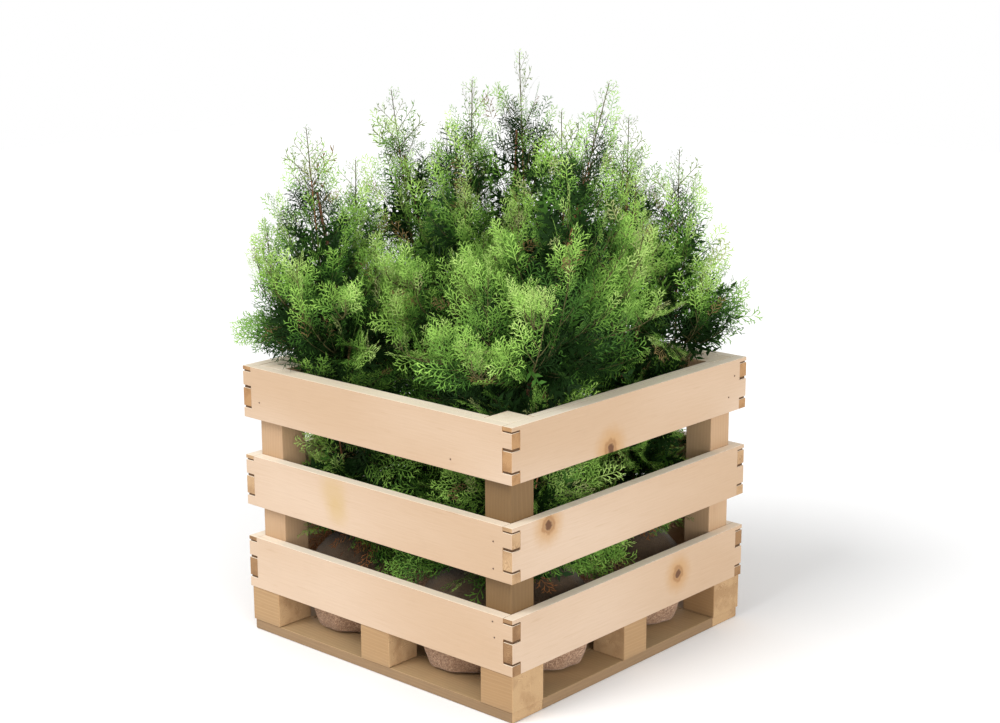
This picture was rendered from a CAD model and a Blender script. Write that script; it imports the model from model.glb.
# Looks of the potted thuja: a clump of five stems in a slatted wooden crate
import math
import random

import bmesh
import bpy
import numpy as np
from mathutils import Matrix, Vector, noise
from mathutils.geometry import interpolate_bezier


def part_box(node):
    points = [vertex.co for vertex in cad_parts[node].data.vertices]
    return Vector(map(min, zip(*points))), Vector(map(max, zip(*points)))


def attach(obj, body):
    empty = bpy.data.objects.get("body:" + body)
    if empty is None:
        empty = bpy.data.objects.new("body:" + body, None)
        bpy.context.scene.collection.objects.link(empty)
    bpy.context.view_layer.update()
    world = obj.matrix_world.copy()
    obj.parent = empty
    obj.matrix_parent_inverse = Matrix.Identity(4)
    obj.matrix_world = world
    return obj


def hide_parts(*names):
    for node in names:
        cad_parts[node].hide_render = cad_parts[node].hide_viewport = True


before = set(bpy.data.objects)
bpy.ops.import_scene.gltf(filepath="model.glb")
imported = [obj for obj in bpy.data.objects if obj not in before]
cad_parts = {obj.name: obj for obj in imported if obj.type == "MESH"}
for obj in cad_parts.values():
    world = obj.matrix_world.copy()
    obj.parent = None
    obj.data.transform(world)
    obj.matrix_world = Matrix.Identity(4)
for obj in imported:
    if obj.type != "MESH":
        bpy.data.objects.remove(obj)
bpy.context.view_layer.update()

up = Vector((0.0, 0.0, 1.0))
goldenTurn = math.radians(137.5)
quarterTurn = math.pi / 2


# Small helpers for node trees. A colour is given as red, green and blue

def feed(tree, socket, value):
    if isinstance(value, bpy.types.NodeSocket):
        tree.links.new(value, socket)
    elif socket.type == "RGBA":
        socket.default_value = (*value, 1.0)
    else:
        socket.default_value = value


def addNode(tree, kind, settings=None, inputs=None):
    node = tree.nodes.new(kind)
    for name, value in (settings or {}).items():
        setattr(node, name, value)
    for name, value in (inputs or {}).items():
        feed(tree, node.inputs[name], value)
    return node


def doMath(tree, operation, a, b=0.0, clamp=False):
    node = addNode(tree, "ShaderNodeMath", {"operation": operation, "use_clamp": clamp})
    feed(tree, node.inputs[0], a)
    feed(tree, node.inputs[1], b)
    return node.outputs[0]


def times(tree, a, b):
    return doMath(tree, "MULTIPLY", a, b)


def plus(tree, a, b, clamp=False):
    return doMath(tree, "ADD", a, b, clamp)


def mixColours(tree, factor, a, b):
    node = addNode(tree, "ShaderNodeMix", {"data_type": "RGBA"})
    for number, value in ((0, factor), (6, a), (7, b)):
        feed(tree, node.inputs[number], value)
    return node.outputs[2]


def softStep(tree, value, low, high):
    node = addNode(tree, "ShaderNodeMapRange", {"interpolation_type": "SMOOTHSTEP"},
                   {"Value": value, "From Min": low, "From Max": high})
    return node.outputs["Result"]


def noiseMask(tree, vector, scale, detail=2.0, rough=0.5):
    node = addNode(tree, "ShaderNodeTexNoise", None,
                   {"Vector": vector, "Scale": scale, "Detail": detail, "Roughness": rough})
    return node.outputs["Fac"]


def stretched(tree, vector, scale):
    return addNode(tree, "ShaderNodeMapping", None, {"Vector": vector, "Scale": scale}).outputs["Vector"]


def axisParts(tree, vector):
    return addNode(tree, "ShaderNodeSeparateXYZ", None, {"Vector": vector}).outputs


def newGroup(name, inputs, outputs):
    group = bpy.data.node_groups.new(name, "ShaderNodeTree")
    kinds = {"v": "NodeSocketVector", "c": "NodeSocketColor", "f": "NodeSocketFloat"}
    for way, sockets in (("INPUT", inputs), ("OUTPUT", outputs)):
        for label, kind in sockets:
            group.interface.new_socket(label, in_out=way, socket_type=kinds[kind])
    return group, group.nodes.new("NodeGroupInput").outputs, group.nodes.new("NodeGroupOutput").inputs


def useGroup(tree, group, inputs):
    return addNode(tree, "ShaderNodeGroup", {"node_tree": group}, inputs).outputs


def newMaterial(name):
    mat = bpy.data.materials.new(name)
    mat.use_nodes = True
    tree = mat.node_tree
    coords = tree.nodes.new("ShaderNodeTexCoord").outputs["Object"]
    return mat, tree, tree.nodes["Principled BSDF"], coords


def dress(tree, shader, colour, roughness, specular=None):
    feed(tree, shader.inputs["Base Color"], colour)
    shader.inputs["Roughness"].default_value = roughness
    if specular is not None:
        shader.inputs["Specular IOR Level"].default_value = specular


def addBump(tree, shader, height, strength, distance):
    bump = addNode(tree, "ShaderNodeBump", None,
                   {"Height": height, "Strength": strength, "Distance": distance})
    tree.links.new(bump.outputs["Normal"], shader.inputs["Normal"])


def twoToneMaterial(name, dark, pale, scale, detail, edges, roughness, specular=None, stretch=None):
    mat, tree, shader, coords = newMaterial(name)
    vector = stretched(tree, coords, stretch) if stretch else coords
    share = softStep(tree, noiseMask(tree, vector, scale, detail), *edges)
    dress(tree, shader, mixColours(tree, share, dark, pale), roughness, specular)
    return mat


# Shared effects

grainLook = {
    "rings": 720.0,           # how close the rings lie
    "wander": 0.075,          # how far they bend
    "shift": 0.02,            # between one board and the next
    "fibres": (430.0, 0.16),  # how fine and how strong
    "flecks": (95.0, 0.22),
}


def makeGrainGroup():
    # Grain runs along X. Pale early wood, darker late wood, broad tints, fine fibres and short flecks.
    group, ins, outs = newGroup("timberGrain", [("Vector", "v"), ("Pale", "c"), ("Dark", "c"), ("Tint", "c"),
                                                ("Rings", "f"), ("Shift", "f")],
                                [("Color", "c"), ("Height", "f")])

    def along(stretch, scale, detail, rough=0.5):
        return noiseMask(group, stretched(group, ins["Vector"], (stretch, 1.0, 1.0)), scale, detail, rough)

    parts = axisParts(group, ins["Vector"])
    across = plus(group, times(group, parts["Y"], 0.9), parts["Z"])
    across = plus(group, across, times(group, along(0.22, 7.0, 2.0), grainLook["wander"]))
    across = plus(group, across, times(group, ins["Shift"], grainLook["shift"]))
    ring = doMath(group, "SINE", times(group, across, grainLook["rings"]))
    ring = softStep(group, doMath(group, "MULTIPLY_ADD", ring, 0.5), -0.35, 0.5)
    fine, fineShare = grainLook["fibres"]
    short, shortShare = grainLook["flecks"]
    fibre = along(0.030, fine, 3.0, 0.6)
    fleck = softStep(group, along(0.12, short, 1.0), 0.66, 0.78)
    colour = mixColours(group, softStep(group, along(0.35, 3.2, 2.0), 0.35, 0.70), ins["Pale"], ins["Tint"])
    fibreLines = softStep(group, fibre, 0.40, 0.75)
    for mask, strength in ((ring, ins["Rings"]), (fibreLines, fineShare), (fleck, shortShare)):
        colour = mixColours(group, times(group, mask, strength), colour, ins["Dark"])
    feed(group, outs["Color"], colour)
    feed(group, outs["Height"], plus(group, times(group, ring, 0.35), times(group, fibre, 0.65)))
    return group


def makeKnotGroup():
    # A dark heart, a ring round it and a warm halo in the wood beside it.
    group, ins, outs = newGroup("knotMark", [("Vector", "v"), ("Centre", "v"), ("Radius", "f")],
                                [("Heart", "f"), ("Ring", "f"), ("Halo", "f")])
    away = addNode(group, "ShaderNodeVectorMath", {"operation": "DISTANCE"})
    feed(group, away.inputs[0], ins["Vector"])
    feed(group, away.inputs[1], ins["Centre"])
    part = doMath(group, "DIVIDE", away.outputs["Value"], ins["Radius"])
    part = plus(group, part, times(group, noiseMask(group, ins["Vector"], 75.0), 0.9))
    feed(group, outs["Heart"], softStep(group, part, 1.25, 0.85))
    feed(group, outs["Ring"],
         doMath(group, "SUBTRACT", softStep(group, part, 1.8, 1.4), softStep(group, part, 1.3, 1.0)))
    feed(group, outs["Halo"], softStep(group, part, 3.9, 1.1))
    return group


def makeDirtGroup():
    # Grime low down and in patches, from the ground up.
    group, ins, outs = newGroup("handlingDirt", [("Vector", "v"), ("Top", "f"), ("Patches", "f")],
                                [("Mask", "f")])
    low = softStep(group, axisParts(group, ins["Vector"])["Z"], ins["Top"], 0.0)
    patch = softStep(group, noiseMask(group, ins["Vector"], 26.0, 4.0, 0.65), 0.50, 0.78)
    feed(group, outs["Mask"], plus(group, times(group, low, 0.6), times(group, patch, ins["Patches"]), True))
    return group


effects = {"grain": makeGrainGroup(), "knot": makeKnotGroup(), "dirt": makeDirtGroup()}


# Timber

timberLook = {
    # Early wood, late wood, broad tint, and how strong the rings are
    "slat": ((0.60, 0.455, 0.335), (0.38, 0.235, 0.125), (0.51, 0.355, 0.230), 0.06),
    "block": ((0.45, 0.290, 0.145), (0.24, 0.128, 0.052), (0.37, 0.225, 0.105), 0.32),
    "post": ((0.21, 0.125, 0.050), (0.12, 0.063, 0.022), (0.165, 0.095, 0.036), 0.35),
    "board": ((0.34, 0.220, 0.110), (0.16, 0.090, 0.038), (0.25, 0.155, 0.070), 0.32),
    "edge": ((0.93, 0.84, 0.70), (0.60, 0.42, 0.26), (0.88, 0.76, 0.60), 0.08),
    "palePost": ((0.56, 0.385, 0.24), (0.33, 0.200, 0.10), (0.48, 0.315, 0.185), 0.25),
    "boardTop": ((0.58, 0.405, 0.215), (0.30, 0.18, 0.08), (0.48, 0.32, 0.16), 0.28),
    "roughness": 0.62,
    "dirtTop": 0.05,
    "dirt": (0.55, (0.20, 0.13, 0.08)),
    # Place and radius of each mark, one list for each direction the grain runs in
    "knots": {
        "x": [((0.205, 0.4, 0.545), 0.0095), ((-0.120, 0.4, 0.180), 0.0085)],
        "y": [((0.4, -0.0903, 0.5135), 0.0190), ((0.4, -0.2894, 0.3972), 0.0175),
              ((0.4, 0.1539, 0.1726), 0.0165), ((-0.4, 0.110, 0.360), 0.0130)],
    },
    "smudges": {"x": [((-0.114, -0.4, 0.385), 0.0170), ((-0.104, -0.4, 0.345), 0.0140)], "y": []},
    "knotStain": (("Halo", 0.75, (0.46, 0.250, 0.085)), ("Ring", 0.6, (0.26, 0.12, 0.045)),
                  ("Heart", 1.0, (0.13, 0.055, 0.022))),
    "smudgeStain": (("Halo", 0.50, (0.50, 0.34, 0.14)),),
    "patches": {"slat": 0.05, "edge": 0.05, "block": 0.22, "board": 0.30, "boardTop": 0.22, "post": 0.15,
                "palePost": 0.10},   # how much dirt lies on each kind
}
endLook = {  # the cut ends: a name, pale and dark
    "low": ("cutEndsDark", (0.40, 0.24, 0.12), (0.16, 0.080, 0.035)),
    "middle": ("cutEndsPale", (0.62, 0.42, 0.24), (0.27, 0.15, 0.07)),
    "top": ("cutEndsWarm", (0.52, 0.31, 0.15), (0.25, 0.125, 0.05)),
    "slots": ("jointShadow", (0.16, 0.09, 0.045), (0.06, 0.032, 0.016)),
    "blocks": ("blockEnds", (0.58, 0.40, 0.22), (0.30, 0.17, 0.08)),
    "posts": ("postTops", (0.93, 0.84, 0.70), (0.78, 0.62, 0.44)),
}


def timberMaterial(name, kind, along, knots=(), smudges=()):
    mat, tree, shader, coords = newMaterial(name)
    pale, dark, tint, rings = timberLook[kind]
    turns = {"x": (0, 0, 0), "y": (0, 0, -quarterTurn), "z": (0, quarterTurn, 0)}
    grainWay = addNode(tree, "ShaderNodeMapping", None, {"Vector": coords, "Rotation": turns[along]})
    level = doMath(tree, "FLOOR", times(tree, axisParts(tree, coords)["Z"], 5.0))
    wood = useGroup(tree, effects["grain"], {"Vector": grainWay.outputs["Vector"], "Pale": pale,
                                             "Dark": dark, "Tint": tint, "Rings": rings,
                                             "Shift": level})
    colour = wood["Color"]
    for marks, stain in ((smudges, timberLook["smudgeStain"]), (knots, timberLook["knotStain"])):
        for place, radius in marks:
            mark = useGroup(tree, effects["knot"], {"Vector": coords, "Centre": place, "Radius": radius})
            for part, strength, shade in stain:
                colour = mixColours(tree, times(tree, mark[part], strength), colour, shade)
    strength, shade = timberLook["dirt"]
    grime = useGroup(tree, effects["dirt"],
                     {"Vector": coords, "Top": timberLook["dirtTop"], "Patches": timberLook["patches"][kind]})
    colour = mixColours(tree, times(tree, grime["Mask"], strength), colour, shade)
    dress(tree, shader, colour, timberLook["roughness"], 0.35)
    addBump(tree, shader, wood["Height"], 0.35, 0.0006)
    return mat


def endGrainMaterial(name, pale, dark):
    # Cut ends: rings across the cut, ragged and darker than the faces.
    mat, tree, shader, coords = newMaterial(name)
    bend = noiseMask(tree, coords, 9.0)
    parts = axisParts(tree, coords)
    across = plus(tree, plus(tree, parts["X"], parts["Y"]), parts["Z"])
    ring = doMath(tree, "SINE", times(tree, plus(tree, across, bend), 1100.0))
    pores = noiseMask(tree, coords, 620.0, 3.0, 0.7)
    patch = noiseMask(tree, coords, 21.0, 3.0, 0.6)
    share = plus(tree, times(tree, softStep(tree, ring, -0.4, 0.9), 0.30), times(tree, pores, 0.55))
    share = plus(tree, share, times(tree, softStep(tree, patch, 0.42, 0.66), 0.35), True)
    dress(tree, shader, mixColours(tree, share, pale, dark), 0.85, 0.2)
    addBump(tree, shader, pores, 0.7, 0.0008)
    return mat


def bevelTimber(bm, width):
    bmesh.ops.bevel(bm, geom=bm.edges[:], offset=width, offset_type="OFFSET", affect="EDGES", segments=2,
                    profile=0.5, material=-1, clamp_overlap=True)


def addObject(name, data):
    made = bpy.data.objects.new(name, data)
    bpy.context.scene.collection.objects.link(made)
    return made


def addMeshPiece(name, mesh, mats, nodes):
    for mat in mats:
        mesh.materials.append(mat)
    piece = addObject(name, mesh)
    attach(piece, "root")
    if nodes:
        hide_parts(*nodes)
    return piece


def addPiece(name, bm, mats, nodes):
    mesh = bpy.data.meshes.new(name)
    bm.to_mesh(mesh)
    bm.free()
    return addMeshPiece(name, mesh, mats, nodes)


def finishTimber(name, bm, mats, along, node):
    # Faces across the grain take the end grain material, and those that look up a third one.
    bmesh.ops.recalc_face_normals(bm, faces=bm.faces)
    axis = "xyz".index(along)
    for face in bm.faces:
        face.material_index = 1 if abs(face.normal[axis]) > 0.8 else 0
        if len(mats) > 2 and face.normal.z > 0.8:
            face.material_index = 2
        face.smooth = False
    addPiece(name, bm, mats, [node])


def addBlock(bm, size, middle):
    made = bmesh.ops.create_cube(bm, size=1.0)["verts"]
    bmesh.ops.scale(bm, vec=size, verts=made)
    bmesh.ops.translate(bm, vec=middle, verts=made)


slatShape = {
    "half": 0.400,
    "thick": 0.025,
    "kerf": 0.0003,
    "bevel": 0.0011,
    "levels": {"low": (0.1041, 0.1210), "middle": (0.3003, 0.1170), "top": (0.5050, 0.1177)},   # foot, height
    # Heights down from the top edge, as parts of the slat's height
    "upperFinger": (0.105, 0.375),   # the finger of the front and back slats that shows on the sides
    "upperSlot": 0.075,
    "tongue": (0.425, 0.775),        # the finger of the side slats that shows on the front and back
    "slotFoot": 0.815,
    "slotDeep": 0.0025,              # the sawn slots look this deep
    "coreShort": 0.004,
    "coreBevel": 0.0008,
}


def slatOutline(level, sides):
    # The slat seen from outside: X along it, Z up, with the fingers of its joint at both ends.
    foot, tall = slatShape["levels"][level]
    top = foot + tall
    outer = slatShape["half"]
    inner = outer - slatShape["thick"] - slatShape["kerf"]
    if sides:
        first, last = (top - part * tall for part in slatShape["tongue"])
        slot = top - slatShape["upperSlot"] * tall
        steps = [(outer, top), (outer, slot), (inner, slot), (inner, first), (outer, first), (outer, last),
                 (inner, last), (inner, foot)]
    else:
        first, last = (top - part * tall for part in slatShape["upperFinger"])
        slot = top - slatShape["slotFoot"] * tall
        steps = [(inner, top), (inner, first), (outer, first), (outer, last), (inner, last), (inner, slot),
                 (outer, slot), (outer, foot)]
    return steps + [(-x, z) for x, z in reversed(steps)]


def makeJointCores(mat):
    # What shows deep in the joints' sawn slots: the next layer of wood, stained dark.
    inner = slatShape["half"] - slatShape["thick"]
    outer = slatShape["half"] - slatShape["slotDeep"]
    bm = bmesh.new()
    for sx in (-1, 1):
        for sy in (-1, 1):
            for foot, tall in slatShape["levels"].values():
                size = Vector((outer - inner, outer - inner, tall - slatShape["coreShort"] * 2))
                middle = Vector((sx * (inner + outer) / 2, sy * (inner + outer) / 2, foot + tall / 2))
                addBlock(bm, size, middle)
    bevelTimber(bm, slatShape["coreBevel"])
    addPiece("jointCores", bm, [mat], [])


def makeSlats(woods, ends, edges):
    for turns, side in enumerate(("front", "right", "back", "left")):
        along = "xy"[turns % 2]
        for level in slatShape["levels"]:
            bm = bmesh.new()
            outline = slatOutline(level, turns % 2)
            face = bm.faces.new([bm.verts.new((x, -slatShape["half"], z)) for x, z in outline])
            grown = bmesh.ops.extrude_face_region(bm, geom=[face])
            moved = [v for v in grown["geom"] if isinstance(v, bmesh.types.BMVert)]
            bmesh.ops.translate(bm, vec=(0, slatShape["thick"], 0), verts=moved)
            bmesh.ops.recalc_face_normals(bm, faces=bm.faces)
            bevelTimber(bm, slatShape["bevel"])
            bmesh.ops.rotate(bm, matrix=Matrix.Rotation(turns * quarterTurn, 3, "Z"), verts=bm.verts)
            mats = [woods[along], ends[level], edges]
            finishTimber(f"slatWood_{side}_{level}", bm, mats, along, f"slat_{side}_{level}")
    print("slats with finger joints: 12")


timberShape = {
    "bevel": {"post": 0.0020, "rail": 0.0010, "block": 0.0022, "board": 0.0018},
    "cuts": 7,
    "wobble": 0.0007,         # how uneven the faces are
    "wobbleScale": 9.0,
}


def makeTimber(node, kind, along, mats):
    # A sawn length of wood over a CAD box, its edges broken and its faces a little uneven.
    low, high = (Vector(v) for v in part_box(node))
    bm = bmesh.new()
    addBlock(bm, high - low, (low + high) / 2)
    axis = "xyz".index(along)
    long = [e for e in bm.edges if abs((e.verts[0].co - e.verts[1].co)[axis]) > 0.5 * (high - low)[axis]]
    bmesh.ops.subdivide_edges(bm, edges=long, cuts=timberShape["cuts"], use_grid_fill=True)
    bevelTimber(bm, timberShape["bevel"][kind])
    for v in bm.verts:
        push = noise.noise_vector(v.co * timberShape["wobbleScale"]) * timberShape["wobble"]
        v.co -= Vector([abs(p) * (1 if c > m else -1) for p, c, m in zip(push, v.co, (low + high) / 2)])
    finishTimber(f"{node}_wood", bm, mats, along, node)


def makeCrate():
    woods = {a: timberMaterial(name, "slat", a, timberLook["knots"][a], timberLook["smudges"][a])
             for a, name in (("x", "slatWoodFront"), ("y", "slatWoodSides"))}
    ends = {part: endGrainMaterial(*look) for part, look in endLook.items()}
    edges = timberMaterial("sawnEdges", "edge", "x")
    makeSlats(woods, ends, edges)
    makeJointCores(ends["slots"])
    blocks = {a: timberMaterial(f"blockWood_{a}", "block", a) for a in "xy"}
    boards = {a: timberMaterial(f"boardWood_{a}", "board", a) for a in "xy"}
    tops = timberMaterial("boardTops", "boardTop", "x")
    nearPost = timberMaterial("postWood", "post", "z")
    palePosts = timberMaterial("palePostWood", "palePost", "z")
    for corner in ("near", "right", "back", "left"):
        wood = nearPost if corner == "near" else palePosts
        makeTimber(f"post_{corner}", "post", "z", [wood, ends["posts"]])
        makeTimber(f"block_corner_{corner}", "block", "x", [blocks["x"], ends["blocks"]])
    for side, along in (("front", "x"), ("back", "x"), ("right", "y"), ("left", "y")):
        makeTimber(f"block_middle_{side}", "block", along, [blocks[along], ends["blocks"]])
        makeTimber(f"base_board_{side}", "board", along, [boards[along], ends["blocks"], tops])
        makeTimber(f"rim_rail_{side}", "rail", along, [woods[along], ends["top"], edges])
    for number in (1, 2):
        makeTimber(f"floor_board_{number}", "board", "x", [boards["x"], ends["blocks"], tops])
    print("posts, rails, blocks and boards: 22")


nailShape = {
    "radius": 0.0019,
    "depth": 0.0016,
    "bevel": 0.0002,
    # Place along the slat and height
    "front": [(-0.3471, 0.5453), (0.2355, 0.5284), (0.3502, 0.3809), (0.3498, 0.3235), (0.347, 0.2107),
              (0.3519, 0.1775)],
    "right": [(0.3539, 0.5864), (0.3325, 0.5408)],
    "others": [(-0.345, 0.590), (-0.342, 0.545), (0.340, 0.588), (0.346, 0.380), (-0.349, 0.330),
               (-0.347, 0.205)],
    "steel": (0.10, 0.085, 0.075),
    "rust": (0.17, 0.075, 0.03),
    "taper": 0.85,
    "proud": 0.0001,
    "metal": 0.4,
    "look": {"scale": 900.0, "detail": 2.0, "edges": (0.4, 0.65), "roughness": 0.6},
}


def makeNails():
    mat = twoToneMaterial("nailHeads", nailShape["steel"], nailShape["rust"], **nailShape["look"])
    mat.node_tree.nodes["Principled BSDF"].inputs["Metallic"].default_value = nailShape["metal"]
    bm = bmesh.new()
    for turns, side in enumerate(("front", "right", "others", "others")):
        for along, height in nailShape[side]:
            spin = Matrix.Rotation(turns * quarterTurn, 4, "Z")
            place = Matrix.Translation((along, -slatShape["half"] - nailShape["proud"], height))
            place = place @ Matrix.Rotation(quarterTurn, 4, "X")
            radius = nailShape["radius"]
            head = bmesh.ops.create_cone(bm, cap_ends=True, segments=12, radius1=radius * nailShape["taper"],
                                         radius2=radius, depth=nailShape["depth"], matrix=spin @ place)
            rim = dict.fromkeys(e for v in head["verts"] for e in v.link_edges)
            bmesh.ops.bevel(bm, geom=list(rim), offset=nailShape["bevel"], affect="EDGES", segments=1,
                            profile=0.5, material=-1)
    addPiece("nailHeads", bm, [mat], [])
    print("nail heads set in the slats")


# Root ball

ballShape = {
    "middle": 0.129,          # height of the lobes' middles
    "half": 0.122,
    "lobes": ((-0.207, -0.258, 0.103), (0.142, -0.258, 0.106), (0.268, -0.135, 0.098), (0.262, 0.205, 0.096),
              (0.135, 0.262, 0.103), (-0.150, 0.262, 0.103), (-0.262, 0.150, 0.103), (-0.262, -0.140, 0.098),
              (0.0, 0.0, 0.235)),
    "voxel": 0.0075,
    "smooth": 8,
    "lump": (16.0, 0.0035),   # how close and how high the lumps are, then the threads
    "thread": (75.0, 0.0005),
}
sackingLook = {
    "cloth": ((0.46, 0.295, 0.190), (0.60, 0.405, 0.275)),
    "threads": (0.24, 0.140, 0.085),
    "soil": (0.060, 0.042, 0.026),
    "soilFrom": (0.150, 0.200),
    "weave": 420.0,
}


def sackingMaterial():
    # Matted coir and sacking: crossing threads over pinkish brown, with dark soil above.
    mat, tree, shader, coords = newMaterial("sackingFibre")
    patch = noiseMask(tree, coords, 14.0, 3.0, 0.6)
    warp, weft = (noiseMask(tree, stretched(tree, coords, pull), sackingLook["weave"], 2.0, 0.7)
                  for pull in ((1.0, 1.0, 0.30), (0.30, 0.30, 1.0)))
    threads = doMath(tree, "MAXIMUM", warp, weft)
    base = mixColours(tree, softStep(tree, patch, 0.36, 0.64), *sackingLook["cloth"])
    base = mixColours(tree, softStep(tree, threads, 0.46, 0.70), sackingLook["threads"], base)
    soil = softStep(tree, axisParts(tree, coords)["Z"], *sackingLook["soilFrom"])
    base = mixColours(tree, times(tree, soil, 0.92), base, sackingLook["soil"])
    dress(tree, shader, base, 0.95, 0.15)
    shader.inputs["Sheen Weight"].default_value = 0.15
    addBump(tree, shader, threads, 0.9, 0.0025)
    return mat


def smoothFaces(bm):
    for face in bm.faces:
        face.smooth = True


def applyModifiers(obj):
    depsgraph = bpy.context.evaluated_depsgraph_get()
    mesh = bpy.data.meshes.new_from_object(obj.evaluated_get(depsgraph))
    old = obj.data
    obj.modifiers.clear()
    obj.data = mesh
    bpy.data.meshes.remove(old)


def makeRootBall():
    bm = bmesh.new()
    bm.from_mesh(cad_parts["root_ball"].data)
    bmesh.ops.remove_doubles(bm, verts=bm.verts, dist=0.00001)
    piece = addPiece("rootBall_sacking", bm, [], ["root_ball"])
    piece.data.materials.clear()
    remesh = piece.modifiers.new("Remesh", "REMESH")
    remesh.mode = "VOXEL"
    remesh.voxel_size = ballShape["voxel"]
    piece.modifiers.new("Smooth", "SMOOTH").iterations = ballShape["smooth"]
    applyModifiers(piece)
    bm = bmesh.new()
    bm.from_mesh(piece.data)
    bm.normal_update()
    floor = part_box("root_ball")[0][2]
    lumps, lumpHigh = ballShape["lump"]
    threads, threadHigh = ballShape["thread"]
    for v in bm.verts:
        swell = noise.noise(v.co * lumps) * lumpHigh
        swell += abs(noise.noise(v.co * threads)) * threadHigh
        v.co += v.normal * swell
        v.co.z = max(v.co.z, floor)
    smoothFaces(bm)
    bm.to_mesh(piece.data)
    bm.free()
    piece.data.materials.append(sackingMaterial())
    print("root ball:", len(piece.data.polygons), "faces")


# Stems and boughs, by the source's rule

stems = {  # foot on the root ball, tip of the leader, tip of the second leader
    "left": ((-0.195, -0.205), (-0.306, -0.275, 1.146), (-0.300, -0.135, 1.063)),
    "back": ((-0.205, 0.130), (-0.360, 0.040, 1.204), (-0.335, 0.200, 1.118)),
    "middle": ((0.015, 0.010), (0.039, 0.035, 1.306), (-0.037, -0.033, 1.247)),
    "near": ((0.195, -0.190), (0.352, -0.047, 1.261), (0.236, -0.058, 1.197)),
    "right": ((0.200, 0.195), (0.142, 0.289, 1.152), (0.262, 0.318, 1.087)),
}
limbShape = {
    "foot": 0.2623,
    "reach": 0.84,
    "upright": 0.35,
    "stemRadius": (0.0125, 0.0025),
    "flareTall": 0.045,
    "flareRadius": 0.0215,
    "boughRadius": (0.0062, 0.0032),
    "boughFoot": 0.400,
    "boughReach": 0.628,
    "boughShare": 0.75,
    "boughOut": 0.030,
    "boughElbow": 0.035,
    "boughRise": 0.170,
    "sides": 18,
    "ringStep": 0.006,
    "ridge": 0.16,            # bark relief as a part of the limb's radius
    "ridgeTall": 24.0,        # ridges for each metre up
    "flarePower": 1.6,
    "stemLean": 0.8,
    "boughStart": 0.004,
    "ridgeWaves": (1.6, 4.1),
    "seeds": {"stem": 0.0, "bough": 3.0},
    "seedStep": 7.0,
}


def levelWay(azimuth):
    return Vector((math.cos(azimuth), math.sin(azimuth), 0.0))


def steepWay(azimuth, steep):
    return (levelWay(azimuth) * math.sin(steep) + up * math.cos(steep)).normalized()


def turned(way, angle, axis):
    return Matrix.Rotation(angle, 3, axis) @ way


def curve(start, pull, endPull, end, count):
    return [Vector(p) for p in interpolate_bezier(start, pull, endPull, end, count)]


def pointAt(points, height):
    for a, b in zip(points, points[1:]):
        if a.z <= height <= b.z:
            return a.lerp(b, (height - a.z) / (b.z - a.z))
    return points[-1].copy()


def lengthOf(points):
    return sum((b - a).length for a, b in zip(points, points[1:]))


def placeOn(points, part):
    lengths = [(b - a).length for a, b in zip(points, points[1:])]
    left = part * sum(lengths)
    for a, b, length in zip(points, points[1:], lengths):
        if left <= length:
            return a.lerp(b, left / length), (b - a).normalized()
        left -= length
    return points[-1].copy(), (points[-1] - points[-2]).normalized()


def valueOn(values, part):
    place = part * (len(values) - 1)
    low = min(int(place), len(values) - 2)
    return values[low] + (values[low + 1] - values[low]) * (place - low)


def stemLine(foot, tip):
    base = Vector((foot[0], foot[1], limbShape["foot"]))
    full = Vector(tip)
    end = base.lerp(full, limbShape["reach"])
    rise = (end.z - base.z) * limbShape["upright"]
    lean = (full - base).normalized() * rise * limbShape["stemLean"]
    return curve(base, base + up * rise, end - lean, end, 24)


def boughLine(stem, second):
    foot = pointAt(stem, limbShape["boughFoot"])
    aim = Vector(second)
    out = Vector((aim.x - foot.x, aim.y - foot.y, 0)).normalized()
    end = pointAt(stem, limbShape["boughReach"]).lerp(aim, limbShape["boughShare"])
    end += out * limbShape["boughOut"]
    end.z = limbShape["boughReach"]
    start = foot + out * limbShape["boughStart"]
    return curve(start, start + out * limbShape["boughElbow"], end - up * limbShape["boughRise"], end, 16)


def barkTube(points, radiusOf, seed):
    # A limb with its bark: rings extruded along the line, then ridges and flakes raised by noise.
    count = max(8, int(lengthOf(points) / limbShape["ringStep"]))
    spots = [placeOn(points, i / count) for i in range(count + 1)]
    bm = bmesh.new()
    heading = spots[0][1]
    first = Matrix.Translation(spots[0][0]) @ up.rotation_difference(heading).to_matrix().to_4x4()
    foot = bmesh.ops.create_circle(bm, cap_ends=True, segments=limbShape["sides"], radius=radiusOf(0.0),
                                   matrix=first)["verts"]
    face = bm.faces[:][0]
    for i in range(1, count + 1):
        place, ahead = spots[i]
        swing = heading.rotation_difference(ahead).to_matrix().to_4x4()
        heading = ahead
        grow = radiusOf(i / count) / radiusOf((i - 1) / count)
        face = bmesh.ops.extrude_discrete_faces(bm, faces=[face])["faces"][0]
        move = Matrix.Translation(place) @ swing @ Matrix.Scale(grow, 4)
        move = move @ Matrix.Translation(-spots[i - 1][0])
        bmesh.ops.transform(bm, matrix=move, verts=face.verts)
    bm.faces.new(foot)
    bmesh.ops.recalc_face_normals(bm, faces=bm.faces)
    bm.normal_update()
    broad, narrow = limbShape["ridgeWaves"]
    for v in bm.verts:
        near = min(range(count + 1), key=lambda k: abs(spots[k][0].z - v.co.z))
        radius = radiusOf(near / count)
        spot = Vector((v.co.x / radius * 0.9, v.co.y / radius * 0.9, v.co.z * limbShape["ridgeTall"] + seed))
        ridge = noise.noise(spot * broad) + 0.5 * noise.noise(spot * narrow)
        v.co += v.normal * radius * limbShape["ridge"] * ridge
    smoothFaces(bm)
    return bm


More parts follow.
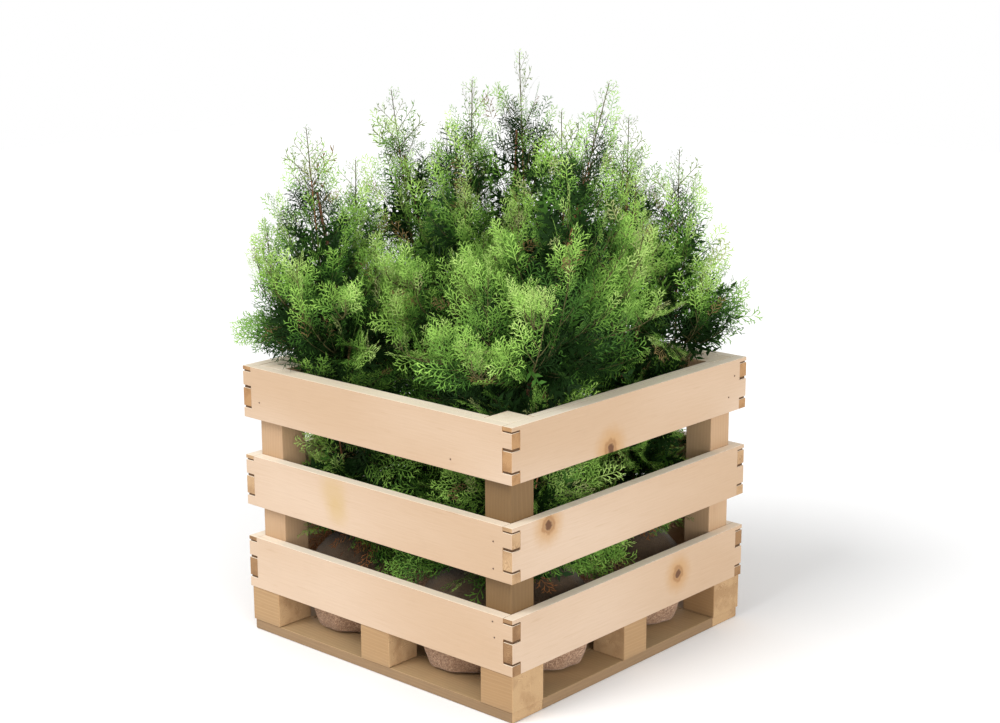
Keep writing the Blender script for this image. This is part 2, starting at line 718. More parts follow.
barkLook = {
    "fibres": (420.0, 3.0, 0.65),     # scale, detail and roughness of the noise
    "fibrePull": (1.0, 1.0, 0.09),
    "fibreEdges": (0.36, 0.66),
    "seams": (0.085, 0.035, 0.020),
    "strands": (0.40, 0.185, 0.105),
    "flakes": 120.0,
    "flakePull": (1.0, 1.0, 0.3),
    "flakeEdges": (0.52, 0.70),
    "flakeTone": (0.42, 0.30, 0.22),
    "finish": (0.88, 0.2),            # roughness and specular
    "relief": (0.8, 0.0012),
}


def barkMaterial():
    # Stringy reddish bark: long fibres, grey flakes and dark seams.
    mat, tree, shader, coords = newMaterial("stringyBark")
    fibre = noiseMask(tree, stretched(tree, coords, barkLook["fibrePull"]), *barkLook["fibres"])
    flake = noiseMask(tree, stretched(tree, coords, barkLook["flakePull"]), barkLook["flakes"])
    flake = softStep(tree, flake, *barkLook["flakeEdges"])
    strands = softStep(tree, fibre, *barkLook["fibreEdges"])
    colour = mixColours(tree, strands, barkLook["seams"], barkLook["strands"])
    colour = mixColours(tree, times(tree, flake, 0.5), colour, barkLook["flakeTone"])
    dress(tree, shader, colour, *barkLook["finish"])
    addBump(tree, shader, fibre, *barkLook["relief"])
    return mat


def makeLimbs():
    bark = barkMaterial()
    limbs = {}
    for index, (name, (foot, tip, second)) in enumerate(stems.items()):
        stem = stemLine(foot, tip)
        bough = boughLine(stem, second)
        big, small = limbShape["stemRadius"]
        tall = stem[-1].z - stem[0].z

        def stemRadius(part):
            flare = max(0.0, 1.0 - part * tall / limbShape["flareTall"])
            flare = (limbShape["flareRadius"] - big) * flare ** limbShape["flarePower"]
            return big + (small - big) * part + flare

        def boughRadius(part):
            return valueOn(limbShape["boughRadius"], part)

        for kind, line, radiusOf in (("stem", stem, stemRadius), ("bough", bough, boughRadius)):
            seed = index * limbShape["seedStep"] + limbShape["seeds"][kind]
            tube = barkTube(line, radiusOf, seed)
            addPiece(f"bark_{kind}_{name}", tube, [bark], [f"{kind}_{name}"])
        limbs[name] = (stem, bough)
    print("stems and boughs with bark: 10")
    return limbs


# Foliage

frondShape = {
    "kinds": 7,
    "widest": 0.36,           # where a blade is widest, as a part of its length
    "openTo": (54, 26),       # degrees between a branchlet and its axis, at the foot and at the tip
    "lobeOpen": 34,
    "stalk": -1,              # the tone that marks a stalk, which has a colour of its own
    "tipShare": 0.75,         # of the open sprays at the tips this part has the colour of new growth
    "sizes": (1.0, 0.8, 0.62, 0.46),   # a spray that has no room is tried smaller
    "bends": ((-0.22, 0.06), (-0.35, 0.35), (-0.5, 0.5)),   # droop, cup and twist
    "coarseBlades": 7,        # the plain sprays deep inside have only these, wider
    "coarseHalf": 0.055,
    # Branchlets and their width, half widths of axis, branchlet and lobe, lobes and their length
    "fine": (9, 0.46, 0.015, 0.019, 0.017, 3, 0.165),
    "plain": (9, 0.46, 0.016, 0.021, 0.018, 1, 0.180),
    "sparse": (7, 0.40, 0.019, 0.017, 0.016, 2, 0.150),
    "lace": (6, 0.42, 0.013, 0.011, 0.021, 2, 0.170),
}
leafShades = {                # base colours, dealt out by spray
    "straw": (0.41, 0.47, 0.18),
    "lime": (0.49, 0.71, 0.190),
    "fresh": (0.335, 0.585, 0.108),
    "grass": (0.190, 0.385, 0.062),
    "deep": (0.062, 0.160, 0.024),
    "shade": (0.015, 0.044, 0.009),
    "olive": (0.24, 0.165, 0.065),
    "rust": (0.33, 0.135, 0.050),
    "stalk": (0.150, 0.140, 0.065),
    "tip": (0.215, 0.300, 0.085),
}
twigShades = {                # green twigs, and brown ones for the older wood
    "twigGreen": ((0.050, 0.042, 0.015), (0.150, 0.140, 0.055)),
    "twigBrown": ((0.130, 0.050, 0.022), (0.420, 0.200, 0.090)),
}
shadeNumber = {name: number for number, name in enumerate(leafShades)}
shadeScale = np.array([shadeNumber[name] for name in ("shade", "deep", "grass", "fresh", "lime")])
leaderSpray = (0.068, 0.067, 0.064, 0.060, 0.053, 0.044)
leaderSteep = (84, 72, 60, 52, 46, 42)
growth = {
    "seed": 97,
    # The space of the crown
    "splitLevel": 0.605,
    "overlap": 0.050,         # sprays of the two levels mingle over this height
    "reachLimit": (0.350, 0.432),
    "postCorner": 0.298,
    "postLevel": 0.690,       # the top of the near post stays in view
    "rimLevel": 0.634,
    "lowest": 0.165,
    "slack": (0.060, 0.035),  # a twig may end this far inside a neighbour's space
    "stray": (0.80, 1.18),    # a twig keeps to the cone times this
    # Depth below a leader's tip, and how far its foliage stands out there
    "cone": ((0.00, 0.006), (0.03, 0.020), (0.06, 0.032), (0.10, 0.050), (0.20, 0.098), (0.30, 0.145),
             (0.40, 0.200), (0.50, 0.260), (0.70, 0.370)),
    # Twigs, in the crate and over it where there are two values
    "longest": (0.300, 0.210),
    "step": 0.008,
    "lift": ((-0.05, 0.45), (0.45, 1.25)),   # how far twigs turn up
    "twigRadius": (0.0013, 0.0006),
    "twigSides": 3,
    "barkTo": 0.72,           # a main stem is brown up to this part of its length, green after it
    "frondStep": (0.0135, 0.0230),   # between sprays on a twig, at a mass's foot and at its tip
    "tipDepth": 0.130,        # over this depth below a tip the sprays are sparse
    "plainShare": (0.86, 0.55),   # sprays nearer the middle than this part of the crown are plain
    "inner": (7, 4),          # coarse dark sprays on each twig that is longer than this
    "innerFrom": 0.075,
    "innerDepth": 0.240,      # but plain ones so near below a tip
    "innerWithin": 0.335,     # and none farther than this from the middle
    # Colours, counted in steps of the scale of shades
    "ageTone": 3.9,           # from the middle of the crown to its outline
    "clumps": (11.0, 11.0, 6.5),   # bright and dark clumps of sprays for each metre across and up
    "clumpTone": 1.8,
    "twigTone": 0.30,         # how much whole twigs differ from each other, and single sprays
    "sprayTone": 0.35,
    "sideTone": 0.40,         # how much paler the leaves towards the right rear are
    # Darker at the foot and behind the rim, at these heights
    "levelTones": ((0.20, -1.3), (0.31, -1.0), (0.40, 0.2), (0.52, 0.3), (0.62, -0.7), (0.70, -0.8),
                   (0.80, 0.0)),
    "rustLevel": 0.310,       # some of the lowest twigs in the crate have dried to rust
    "rustTone": -1.60,
    "olive": (0.018, 0.20),   # share of sprays in an odd colour, and the least age of such a spray
    "straw": (0.060, 0.70),
    # Twigs from the stem, sprays at the walls, side shoots, and how the twigs change towards the tip
    "low": {"shoots": 0, "wallTries": 320, "twigs": 72, "from": (0.0, 0.10, 0.45, 1.0),
            "spray": (0.065, 0.068), "steep": (112, 98, 80, 56), "radius": (0.0030, 0.0018)},
    "leader": {"shoots": 50, "wallTries": 104, "twigs": 61, "from": (0.0, 0.07, 0.19, 0.36, 0.58, 0.77),
               "spray": leaderSpray, "steep": leaderSteep, "radius": (0.0036, 0.0011)},
    "second": {"shoots": 38, "wallTries": 76, "twigs": 55, "from": (0.0, 0.08, 0.21, 0.39, 0.60, 0.77),
               "spray": leaderSpray, "steep": leaderSteep, "radius": (0.0032, 0.0011)},
}
twigShape = {
    "reach": (0.84, 1.04),    # of the room that a twig has
    "plane": (-1.4, 1.4),     # how far its plane of sprays is turned
    "leafTo": 0.98,
    "fan": (28, 52),          # degrees between a spray and the twig
    "rise": 0.20,
    "roll": (-0.5, 0.5),
    "size": (0.72, 1.10),
    "age": (0.06, 0.86),      # the age of a spray in the middle of the crown, and what its outline adds
    "endSize": (0.9, 1.1),
    "endAge": (0.12, 0.82),
    "innerSeat": (0.02, 0.55),
    "innerAside": (0.3, 1.1),
    "innerSize": (0.9, 1.5),
    "innerAge": 0.05,
}
shootShape = {
    "out": (0.045, 0.330),    # how far a shoot's tip stands out of the main stem
    "from": (0.02, 0.30),
    "over": (-0.010, 0.035),  # how far its tip stands over the cone
    "least": 0.080,
    "stray": 1.30,
    "radius": (0.0022, 0.0008),
    "twigs": 12,
    "seats": (0.16, 0.94),
    "reach": (0.085, 0.070, 0.055, 0.024),
    "spray": (0.062, 0.058, 0.052, 0.038),
    "steep": (62, 52, 44, 36),
}
tipShape = {                  # open sprays on the last stretch of a stem and of a shoot
    "stem": {"tall": 0.150, "first": 0.010, "gap": (0.013, 0.020), "short": 0.024, "grow": 0.46,
             "longest": 0.082, "lean": (32, 50)},
    "shoot": {"tall": 0.052, "first": 0.006, "gap": (0.012, 0.018), "short": 0.020, "grow": 0.50,
              "longest": 0.046, "lean": (28, 46)},
    "turn": (140, 220),
    "twist": 0.6,
    "age": (0.55, 0.95),
    "last": (0.030, 0.95),    # size and age of the spray at the very tip
}
wallShape = {
    # Sprays that press against the gaps between the slats, and others that lie over the rim, as bands:
    # how far from the middle they end, and how high
    "low": {"bands": 3 * ((0.255, 0.338, 0.190, 0.315),) + ((0.255, 0.338, 0.385, 0.520),)
            + 2 * ((0.020, 0.300, 0.490, 0.615),),
            "leafFrom": 0.40, "stray": 1.0, "corners": 0.0},
    "rim": {"bands": ((0.300, 0.412, 0.645, 0.700), (0.300, 0.412, 0.660, 0.760)),
            "leafFrom": 0.35, "stray": 1.9, "corners": 0.45},
    "overBall": 0.008,
}


def kite(root, angle, length, half):
    # A thin pointed blade in the plane: its root, its widest place on both sides and its tip.
    ahead = np.array((math.cos(angle), math.sin(angle)))
    aside = np.array((-ahead[1], ahead[0]))
    middle = root + ahead * length * frondShape["widest"]
    return [root, middle + aside * half, root + ahead * length, middle - aside * half]


def strip(root, angle, length, half):
    # A stalk in the plane, a little narrower at its end.
    ahead = np.array((math.cos(angle), math.sin(angle)))
    aside = np.array((-ahead[1], ahead[0])) * half
    end = root + ahead * length
    return [root + aside, root - aside, end - aside * 0.6, end + aside * 0.6]


def frondPattern(seed, kind):
    # One flat spray of unit length along X: an axis, branchlets on both sides, and lobes on these.
    draw = random.Random(seed)
    branchlets, width, axisHalf, branchHalf, lobeHalf, lobes, lobeLength = frondShape[kind]
    openFoot, openTip = frondShape["openTo"]
    blade = strip if kind == "lace" else kite
    quads = [blade(np.array((0.0, 0.0)), 0.0, 1.0, axisHalf)]
    tones = [frondShape["stalk"] if kind == "lace" else 0.4]
    for i in range(branchlets):
        part = 0.10 + 0.80 * (i + draw.uniform(-0.3, 0.3)) / (branchlets - 1)
        side = 1 if i % 2 else -1
        swell = math.sin(math.pi * min(1.0, max(0.0, 0.26 + 0.66 * part))) ** 0.7
        length = width * swell * draw.uniform(0.70, 1.15)
        angle = side * math.radians(openFoot + (openTip - openFoot) * part)
        angle += draw.uniform(-0.14, 0.14)
        root = np.array((part, 0.0))
        quads.append(blade(root, angle, length, branchHalf))
        tones.append(part)
        count = max(1, round(lobes * length / width))
        for j in range(count):
            along = 0.26 + 0.62 * (j + 0.6 * draw.random()) / count
            way = 1 if (i + j) % 2 else -1
            seat = root + np.array((math.cos(angle), math.sin(angle))) * length * along
            lobe = lobeLength * (1.25 - 0.6 * along) * draw.uniform(0.7, 1.25)
            swing = way * math.radians(frondShape["lobeOpen"]) * draw.uniform(0.75, 1.2)
            quads.append(kite(seat, angle + swing, lobe, lobeHalf))
            tones.append(part * 0.5 + along * 0.5)
    return np.array(quads), np.array(tones)


def coarsePattern(seed):
    # The same spray for deep inside: an axis and a few wide blades.
    draw = random.Random(seed)
    half = frondShape["coarseHalf"]
    quads = [kite(np.array((0.0, 0.0)), 0.0, 1.0, half)]
    for i in range(frondShape["coarseBlades"] - 1):
        part = 0.08 + 0.72 * i / (frondShape["coarseBlades"] - 2)
        angle = (1 if i % 2 else -1) * draw.uniform(0.6, 1.0)
        quads.append(kite(np.array((part, 0.0)), angle, 0.42 * (1.1 - part * 0.6), half))
    return np.array(quads), np.full(len(quads), 0.45)


def ballTop(x, y):
    # The height that foliage keeps over the root ball at a place.
    height = growth["lowest"]
    for lobeX, lobeY, radius in ballShape["lobes"]:
        part = math.hypot(x - lobeX, y - lobeY) / (radius + 0.006)
        if part < 1:
            height = max(height, ballShape["middle"] + ballShape["half"] * math.sqrt(1 - part ** 2.4))
    return height


class Mass:
    # One mass of foliage being grown: its space, its draws, its twigs as tubes and its sprays as arrays.
    def __init__(self, name, rule, path, heart, top):
        self.name = name
        self.level = 0 if rule == "low" else 1
        self.rule = growth[rule]
        self.path = path
        self.line = np.array([tuple(p) for p in path])
        self.heart = np.array(heart)
        self.top = top
        self.quads = []
        self.shades = []
        self.tubes = []
        self.tone = 0.0

    def allows(self, p):
        # Inside the crown's outer limits, clear of the crate and the root ball.
        across, other = max(abs(p[0]), abs(p[1])), min(abs(p[0]), abs(p[1]))
        inside, outside = growth["reachLimit"]
        if p[2] > self.top + 0.004 or across > outside or p[2] < ballTop(p[0], p[1]):
            return False
        if p[2] < growth["rimLevel"] and (across > inside or other > growth["postCorner"]):
            return False
        if p[2] < growth["postLevel"] and other > growth["postCorner"] and p[0] > 0 > p[1]:
            return False
        if self.level == 0:
            return p[2] < growth["splitLevel"] + growth["overlap"]
        return p[2] > growth["splitLevel"] - growth["overlap"]

    def beside(self, height):
        return [float(np.interp(height, self.line[:, 2], self.line[:, k])) for k in (0, 1)]

    def share(self, p):
        # How far out a point is: 0 on the main stem, 1 on the crown's outline.
        if self.level == 0:
            return max(abs(p[0]), abs(p[1])) / growth["reachLimit"][0]
        x, y = self.beside(p[2])
        depths, radii = zip(*growth["cone"])
        return math.hypot(p[0] - x, p[1] - y) / np.interp(self.top - p[2], depths, radii)

    def fits(self, p, stray):
        # Also inside its own cone, and not far into a neighbour's space.
        p = np.array(p)
        if not self.allows(p) or (self.level and self.share(p) > stray):
            return False
        squash = np.array((1.0, 1.0, 0.3))
        mine = np.linalg.norm((p - self.heart) * squash)
        rest = min(np.linalg.norm((p - heart) * squash) for heart in self.rivals)
        return mine - rest < growth["slack"][self.level]

    def pick(self, kind):
        return self.draw.choice(self.patterns[kind])


def addFrond(mass, pattern, root, heading, across, length, age):
    draw = mass.draw
    for size in frondShape["sizes"]:
        if mass.allows(root + heading * length * size):
            break
    else:
        return
    length *= size
    quads, tones = pattern
    normal = heading.cross(across)
    droop, cup, twist = (draw.uniform(*span) for span in frondShape["bends"])
    x, y = quads[..., 0], quads[..., 1]
    rise = droop * x * x + cup * np.abs(y) * 0.6 + twist * x * y
    spots = (np.array(root) + length * (x[..., None] * np.array(heading) + y[..., None] * np.array(across)
                                        + rise[..., None] * np.array(normal)))
    mass.quads.append(spots)
    # Outer sprays are paler, and every spray is a shade paler towards its tips
    level = age * growth["ageTone"] + mass.tone + draw.gauss(0.0, growth["sprayTone"])
    shade = shadeScale[np.clip((level + (tones - 0.45) * 1.2).astype(int), 0, 4)]
    shade[tones == frondShape["stalk"]] = shadeNumber["stalk"]
    odd = draw.random()
    if mass.level == 0 and root.z < growth["rustLevel"] and mass.tone < growth["rustTone"]:
        shade[:] = shadeNumber["rust"]
    else:
        for name in ("olive", "straw"):
            share, least = growth[name]
            if odd < share and age > least:
                shade[:] = shadeNumber[name]
                break
    mass.shades.append(shade)


def growTwig(mass, root, aim, spray, step, longest=None, stray=None, leafFrom=0.20, lift=None):
    # A twig that runs on while its mass has room, with sprays on both sides, at its end and deep inside.
    draw = mass.draw
    longest = longest or growth["longest"][mass.level]
    stray = stray or draw.uniform(*growth["stray"])
    if lift is None:
        lift = draw.uniform(*growth["lift"][mass.level])
    fine = "sparse" if mass.top - root.z < growth["tipDepth"] and mass.level else "fine"
    way = (aim + up * lift * 0.5).normalized()
    reach = growth["step"]
    while reach < longest and mass.fits(root + way * (reach + growth["step"]), stray):
        reach += growth["step"]
    reach = max(0.010, (reach - spray * 0.30) * draw.uniform(*twigShape["reach"]))
    mid = root + aim * reach * 0.5
    end = mid + (aim + up * lift).normalized() * reach * 0.5
    clump = noise.noise(Vector([c * scale for c, scale in zip(end, growth["clumps"])]))
    heights, shades = zip(*growth["levelTones"])
    mass.tone = growth["clumpTone"] * clump + draw.gauss(0.0, growth["twigTone"])
    mass.tone += float(np.interp(end.z, heights, shades)) + growth["sideTone"] * max(0.0, end.x + end.y)
    line = curve(root, root.lerp(mid, 0.7), mid.lerp(end, 0.4), end, 5)
    mass.tubes.append((line, growth["twigRadius"], 0.0))
    last = (end - mid).normalized()
    side = last.cross(up).normalized()
    flat = turned(last.cross(side), draw.uniform(*twigShape["plane"]), last).normalized()
    count = max(2, int(reach * (1.2 - leafFrom) / step))
    for i in range(count):
        part = leafFrom + (twigShape["leafTo"] - leafFrom) * (i + draw.uniform(0, 0.6)) / count
        seat, heading = placeOn(line, min(1.0, part))
        across = (flat - heading * flat.dot(heading)).normalized()
        fan = heading.cross(across)
        turn = (1 if i % 2 else -1) * math.radians(draw.uniform(*twigShape["fan"]))
        frondAim = (turned(heading, turn, fan) + up * twigShape["rise"]).normalized()
        frondAcross = turned(fan.cross(frondAim).normalized(), draw.uniform(*twigShape["roll"]), frondAim)
        size = spray * draw.uniform(*twigShape["size"]) * (1.10 - 0.30 * part)
        out = min(1.1, mass.share(seat + frondAim * size * 0.7))
        pattern = mass.pick("plain" if out < growth["plainShare"][mass.level] else fine)
        young, old = twigShape["age"]
        addFrond(mass, pattern, seat, frondAim, frondAcross, size, young + old * out ** 1.6)
    across = (flat - last * flat.dot(last)).normalized()
    pattern = mass.pick(fine)
    out = min(1.1, mass.share(end + last * spray * 0.5))
    young, old = twigShape["endAge"]
    addFrond(mass, pattern, end, last, across, spray * draw.uniform(*twigShape["endSize"]), young + old * out)
    if reach <= growth["innerFrom"]:
        return
    for _ in range(growth["inner"][mass.level]):
        seat, heading = placeOn(line, draw.uniform(*twigShape["innerSeat"]))
        aside = turned(heading.orthogonal().normalized(), draw.uniform(0, 2 * math.pi), heading)
        if max(abs(seat.x), abs(seat.y)) > growth["innerWithin"]:
            continue
        heading = (heading + aside * draw.uniform(*twigShape["innerAside"])).normalized()
        across = heading.orthogonal().normalized()
        high = mass.level and mass.top - seat.z < growth["innerDepth"]
        pattern = mass.pick("plain" if high else "coarse")
        size = spray * draw.uniform(*twigShape["innerSize"])
        addFrond(mass, pattern, seat, heading, across, size, twigShape["innerAge"])


def growTip(mass, line, shape):
    # Open, upright side sprays on the last stretch of a stem, shorter towards its tip.
    draw = mass.draw
    total = lengthOf(line)
    azimuth = draw.uniform(0, 2 * math.pi)
    depth = shape["first"]
    while depth < min(shape["tall"], total * 0.6):
        seat, heading = placeOn(line, 1.0 - depth / total)
        azimuth += math.radians(draw.uniform(*tipShape["turn"]))
        aside = turned(heading.orthogonal().normalized(), azimuth, heading)
        lean = math.radians(draw.uniform(*shape["lean"]))
        aim = heading * math.cos(lean) + aside * math.sin(lean)
        across = heading * math.sin(lean) - aside * math.cos(lean)
        across = turned(across, draw.uniform(-1, 1) * tipShape["twist"], aim)
        length = min(shape["longest"], shape["short"] + depth * shape["grow"]) * draw.uniform(0.8, 1.15)
        addFrond(mass, mass.pick("lace"), seat, aim, across, length, draw.uniform(*tipShape["age"]))
        if mass.shades and draw.random() < frondShape["tipShare"]:
            shades = mass.shades[-1]
            shades[shades != shadeNumber["stalk"]] = shadeNumber["tip"]
        depth += draw.uniform(*shape["gap"])


def growShoots(mass):
    # Upright side shoots from low on the main stem to the crown's outline, each with twigs of its own.
    draw = mass.draw
    depths, radii = zip(*growth["cone"])
    azimuth = draw.uniform(0, 2 * math.pi)
    near, far = shootShape["out"]
    for _ in range(mass.rule["shoots"]):
        azimuth += goldenTurn
        out = levelWay(azimuth)
        radius = near + (far - near) * math.sqrt(draw.random())
        root = placeOn(mass.path, draw.uniform(*shootShape["from"]))[0]
        head = mass.top - float(np.interp(radius, radii, depths)) + draw.uniform(*shootShape["over"])
        head = max(head, root.z + shootShape["least"])
        tip = Vector((*mass.beside(head), head)) + out * radius
        if not mass.fits(tip, shootShape["stray"]):
            continue
        elbow = root + out * radius * 0.75 + up * 0.02
        shoot = curve(root, elbow, tip - up * (head - root.z) * 0.6, tip, 12)
        mass.tubes.append((shoot, shootShape["radius"], 0.0))
        for k in range(shootShape["twigs"]):
            part = k / (shootShape["twigs"] - 1)
            seat = placeOn(shoot, valueOn(shootShape["seats"], part))[0]
            aim = steepWay(azimuth + goldenTurn * k, math.radians(valueOn(shootShape["steep"], part)))
            growTwig(mass, seat, aim, valueOn(shootShape["spray"], part), growth["frondStep"][0],
                     valueOn(shootShape["reach"], part), shootShape["stray"])
        growTip(mass, shoot, tipShape["shoot"])
        addFrond(mass, mass.patterns["lace"][1], tip - up * 0.020, up, Vector((1, 0, 0)), *tipShape["last"])


def growWallTwigs(mass):
    # Twigs that run from the stem to places behind the gaps between the slats, or on the rim.
    draw = mass.draw
    shape = wallShape["rim" if mass.level else "low"]
    foot, tip = mass.path[0].z, mass.path[-1].z
    for _ in range(mass.rule["wallTries"]):
        near, far, low, high = draw.choice(shape["bands"])
        reach = draw.uniform(near, far)
        along = draw.uniform(-reach, reach)
        if draw.random() < shape["corners"]:
            along = math.copysign(reach * draw.uniform(0.80, 1.0), along)
        spot = turned(Vector((reach, along, 0.0)), draw.randrange(4) * quarterTurn, "Z")
        spot.z = max(draw.uniform(low, high), ballTop(spot.x, spot.y) + wallShape["overBall"])
        if not mass.fits(spot, shape["stray"]):
            continue
        root = placeOn(mass.path, min(0.9, max(0.0, (spot.z - foot) / (tip - foot))))[0]
        growTwig(mass, root, (spot - root).normalized(), mass.rule["spray"][0], growth["frondStep"][0],
                 (spot - root).length, shape["stray"], shape["leafFrom"], 0.15 * mass.level)


def growMass(mass):
    draw, rule = mass.draw, mass.rule
    azimuth = draw.uniform(0, 2 * math.pi)
    mass.tubes.append((mass.path, rule["radius"], growth["barkTo"]))
    for i in range(rule["twigs"]):
        part = i / (rule["twigs"] - 1)
        seat = placeOn(mass.path, valueOn(rule["from"], part))[0]
        azimuth += goldenTurn + draw.uniform(-0.25, 0.25)
        steep = math.radians(valueOn(rule["steep"], part)) + draw.uniform(-0.22, 0.22)
        aim = steepWay(azimuth, steep)
        step = valueOn(growth["frondStep"], part * mass.level)
        growTwig(mass, seat, aim, valueOn(rule["spray"], part), step)
    growShoots(mass)
    growWallTwigs(mass)
    tip, heading = placeOn(mass.path, 1.0)
    across = heading.orthogonal().normalized()
    addFrond(mass, mass.patterns["lace"][0], tip - heading * 0.026, heading, across, *tipShape["last"])
    if mass.level:
        mass.tone = 0.0
        growTip(mass, mass.path, tipShape["stem"])


pathShape = {                 # the main stem of each mass and the heart of its space, as in the source
    "low": {"from": 0.300, "to": 0.570, "out": 0.062, "rise": 0.140, "heart": 0.45, "heartOut": 0.045,
            "turn": 35},
    "leader": {"from": 0.632, "elbow": 0.82, "out": 0.034, "rise": 0.080, "heart": 0.20},
    "second": {"pull": 0.100, "heart": 0.40, "heartOut": 0.045},
}


def outFromMiddle(stem, otherwise):
    foot = Vector((stem[0].x, stem[0].y, 0))
    return foot.normalized() if foot.length > 0.05 else Vector(otherwise)


def massesOf(name, stem, bough):
    tip, second = Vector(stems[name][1]), Vector(stems[name][2])
    shape = pathShape["low"]
    side = turned(outFromMiddle(stem, (0, -1, 0)), math.radians(shape["turn"]), "Z")
    start = pointAt(stem, shape["from"])
    top = pointAt(stem, shape["to"]) + side * shape["out"]
    path = curve(start, start + side * shape["out"], top - up * shape["rise"], top, 9)
    heart = pointAt(stem, shape["heart"]) + side * shape["heartOut"]
    low = Mass(f"low_{name}", "low", path, heart, growth["splitLevel"] + growth["overlap"])

    shape = pathShape["leader"]
    elbow = pointAt(stem, shape["elbow"])
    away = elbow - second
    away.z = 0
    side = (away.normalized() + outFromMiddle(stem, (0, 0, 0))).normalized()
    start = pointAt(stem, shape["from"])
    beside = elbow + side * shape["out"]
    path = curve(start, start + side * shape["out"], beside - up * shape["rise"], beside, 6)
    path += curve(beside, beside.lerp(tip, 0.35), beside.lerp(tip, 0.70), tip, 9)[1:]
    leader = Mass(f"leader_{name}", "leader", path, elbow.lerp(tip, shape["heart"]), tip.z)

    shape = pathShape["second"]
    start = bough[-1]
    heading = (start - bough[-2]).normalized()
    path = curve(start, start + heading * shape["pull"], start.lerp(second, 0.70), second, 12)
    heart = start.lerp(second, shape["heart"]) - side * shape["heartOut"]
    return [low, leader, Mass(f"second_{name}", "second", path, heart, second.z)]


def tubeArrays(tubes):
    # Twigs as plain tubes: one ring for each point of the line.
    sides = growth["twigSides"]
    spots, quads, slots, start = [], [], [], 0
    for points, radii, barkTo in tubes:
        count = len(points)
        for i, p in enumerate(points):
            ahead = (points[min(i + 1, count - 1)] - points[max(i - 1, 0)]).normalized()
            first = ahead.orthogonal().normalized()
            other = ahead.cross(first)
            radius = valueOn(radii, i / (count - 1))
            for k in range(sides):
                angle = 2 * math.pi * k / sides
                spots.append(p + (first * math.cos(angle) + other * math.sin(angle)) * radius)
        for i in range(count - 1):
            for k in range(sides):
                a, b = start + i * sides + k, start + i * sides + (k + 1) % sides
                quads.append((a, b, b + sides, a + sides))
                slots.append(1 if i / (count - 1) < barkTo else 0)
        start += count * sides
    return np.array([tuple(p) for p in spots]), np.array(quads), np.array(slots)


def addArrayPiece(name, spots, quads, slots, mats, nodes):
    mesh = bpy.data.meshes.new(name)
    mesh.vertices.add(len(spots))
    mesh.vertices.foreach_set("co", spots.astype(np.float32).ravel())
    mesh.loops.add(quads.size)
    mesh.loops.foreach_set("vertex_index", quads.astype(np.int32).ravel())
    mesh.polygons.add(len(quads))
    mesh.polygons.foreach_set("loop_start", np.arange(0, quads.size, 4, dtype=np.int32))
    mesh.polygons.foreach_set("material_index", slots.astype(np.int32))
    mesh.update(calc_edges=True)
    addMeshPiece(name, mesh, mats, nodes)


leafDim = 0.72                # the darker of the two tones of a leaf
leafLook = {"scale": 900.0, "detail": 1.0, "edges": (0.35, 0.65), "roughness": 0.60, "specular": 0.10}
twigLook = {"scale": 350.0, "detail": 2.0, "edges": (0.3, 0.7), "roughness": 0.8, "specular": 0.15,
            "stretch": (1.0, 1.0, 0.15)}


def makeFoliage(limbs):
    seeds = [growth["seed"] + k for k in range(frondShape["kinds"])]
    patterns = {kind: [frondPattern(seed, kind) for seed in seeds]
                for kind in ("fine", "plain", "sparse", "lace")}
    patterns["coarse"] = [coarsePattern(seed) for seed in seeds]
    leaves = [twoToneMaterial(f"leaf_{name}", tuple(c * leafDim for c in colour), colour, **leafLook)
              for name, colour in leafShades.items()]
    twigs = [twoToneMaterial(name, *colours, **twigLook) for name, colours in twigShades.items()]
    masses = [mass for name, (stem, bough) in limbs.items() for mass in massesOf(name, stem, bough)]
    total = 0
    for index, mass in enumerate(masses):
        mass.patterns = patterns
        mass.draw = random.Random(growth["seed"] + index)
        mass.rivals = [m.heart for m in masses if m is not mass and m.level == mass.level]
        growMass(mass)
        spots = np.concatenate([q.reshape(-1, 3) for q in mass.quads])
        quads = np.arange(len(spots)).reshape(-1, 4)
        addArrayPiece(f"sprays_{mass.name}", spots, quads, np.concatenate(mass.shades), leaves,
                      [f"foliage_{mass.name}"])
        spots, tubeQuads, slots = tubeArrays(mass.tubes)
        addArrayPiece(f"twigs_{mass.name}", spots, tubeQuads, slots, twigs, [])
        total += 2 * (len(quads) + len(tubeQuads))
        print("mass", mass.name, "sprays", len(mass.quads), "twigs", len(mass.tubes))
    print("foliage triangles:", total)


# Floor, light and camera

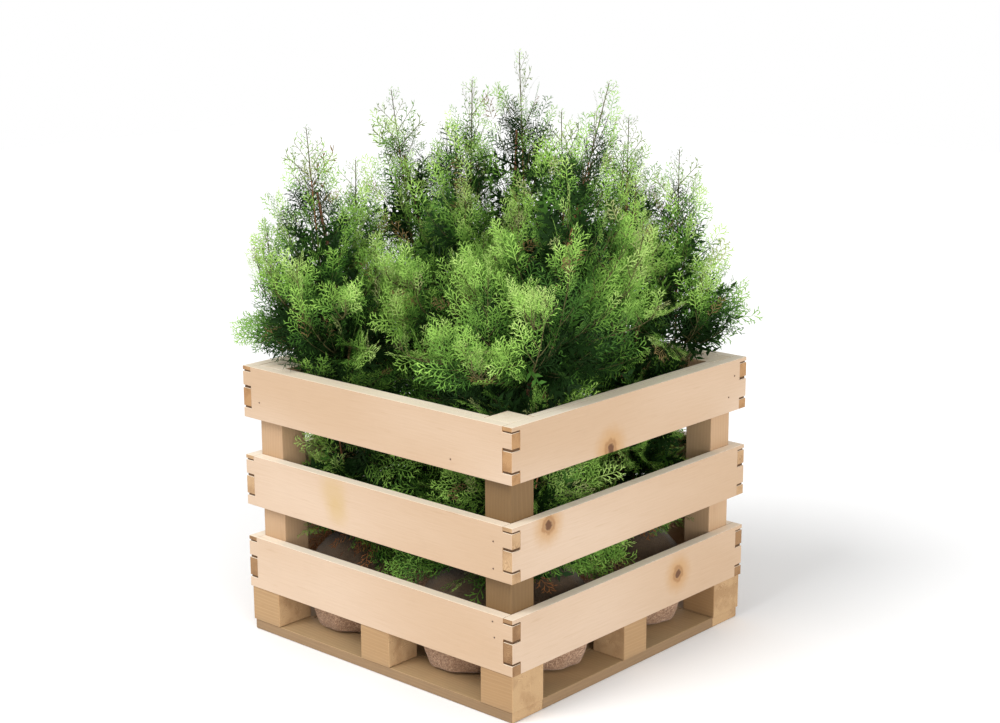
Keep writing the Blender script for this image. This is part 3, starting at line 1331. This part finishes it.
stageLook = {
    "floor": (0.985, 0.985, 0.985),
    "floorSize": 9.0,
    "floorDrop": 0.0006,      # how far it lies under the part
    "floorDim": 0.985,
    "world": (1.0, 1.0, 1.0),
    "backdrop": 1.0,          # how bright the world is behind the object, and as a light on it
    "ambient": 0.62,
    "aim": (0.0, 0.0, 0.65),
    "key": {"place": (-0.7, -3.2, 3.9), "strength": 1.95, "spread": 30},
    "fill": {"place": (3.4, -1.5, 1.35), "strength": 2.25, "spread": 44},
}
cameraView = {
    "place": (2.63692, -2.92072, 1.56004),
    "turns": (("Z", 41.96), ("X", 90.0 - 13.42), ("Z", -0.277)),   # yaw, pitch down from level, roll
    "lens": 64.97,
}


def makeFloor():
    bm = bmesh.new()
    bmesh.ops.create_grid(bm, x_segments=1, y_segments=1, size=stageLook["floorSize"])
    bmesh.ops.translate(bm, vec=(0, 0, -stageLook["floorDrop"]), verts=bm.verts)
    mesh = bpy.data.meshes.new("paleFloor")
    bm.to_mesh(mesh)
    bm.free()
    mat, tree, shader, coords = newMaterial("paleFloor")
    dim = tuple(c * stageLook["floorDim"] for c in stageLook["floor"])
    dress(tree, shader, mixColours(tree, noiseMask(tree, coords, 3.0), stageLook["floor"], dim), 0.9)
    mesh.materials.append(mat)
    addObject("paleFloor", mesh)


def makeLight():
    world = bpy.data.worlds.new("softWhite")
    bpy.context.scene.world = world
    world.use_nodes = True
    sky = world.node_tree
    seen = sky.nodes.new("ShaderNodeLightPath").outputs["Is Camera Ray"]
    strength = times(sky, seen, stageLook["backdrop"] - stageLook["ambient"])
    strength = plus(sky, strength, stageLook["ambient"])
    feed(sky, sky.nodes["Background"].inputs["Color"], stageLook["world"])
    feed(sky, sky.nodes["Background"].inputs["Strength"], strength)
    for name in ("key", "fill"):
        look = stageLook[name]
        light = bpy.data.lights.new(name, "SUN")
        light.energy = look["strength"]
        light.angle = math.radians(look["spread"])
        lamp = addObject(name, light)
        lamp.location = look["place"]
        aim = Vector(stageLook["aim"]) - Vector(look["place"])
        lamp.rotation_euler = aim.to_track_quat("-Z", "Y").to_euler()
    bpy.context.scene.view_settings.view_transform = "Standard"


def makeCamera():
    camera = bpy.data.cameras.new("photoView")
    camera.lens = cameraView["lens"]
    camera.sensor_width = 36.0
    eye = addObject("photoView", camera)
    eye.matrix_world = Matrix.Translation(cameraView["place"])
    for axis, degrees in cameraView["turns"]:
        eye.matrix_world = eye.matrix_world @ Matrix.Rotation(math.radians(degrees), 4, axis)
    bpy.context.scene.camera = eye


makeCrate()
makeNails()
makeRootBall()
makeFoliage(makeLimbs())
makeFloor()
makeLight()
makeCamera()
print("stage and camera set")
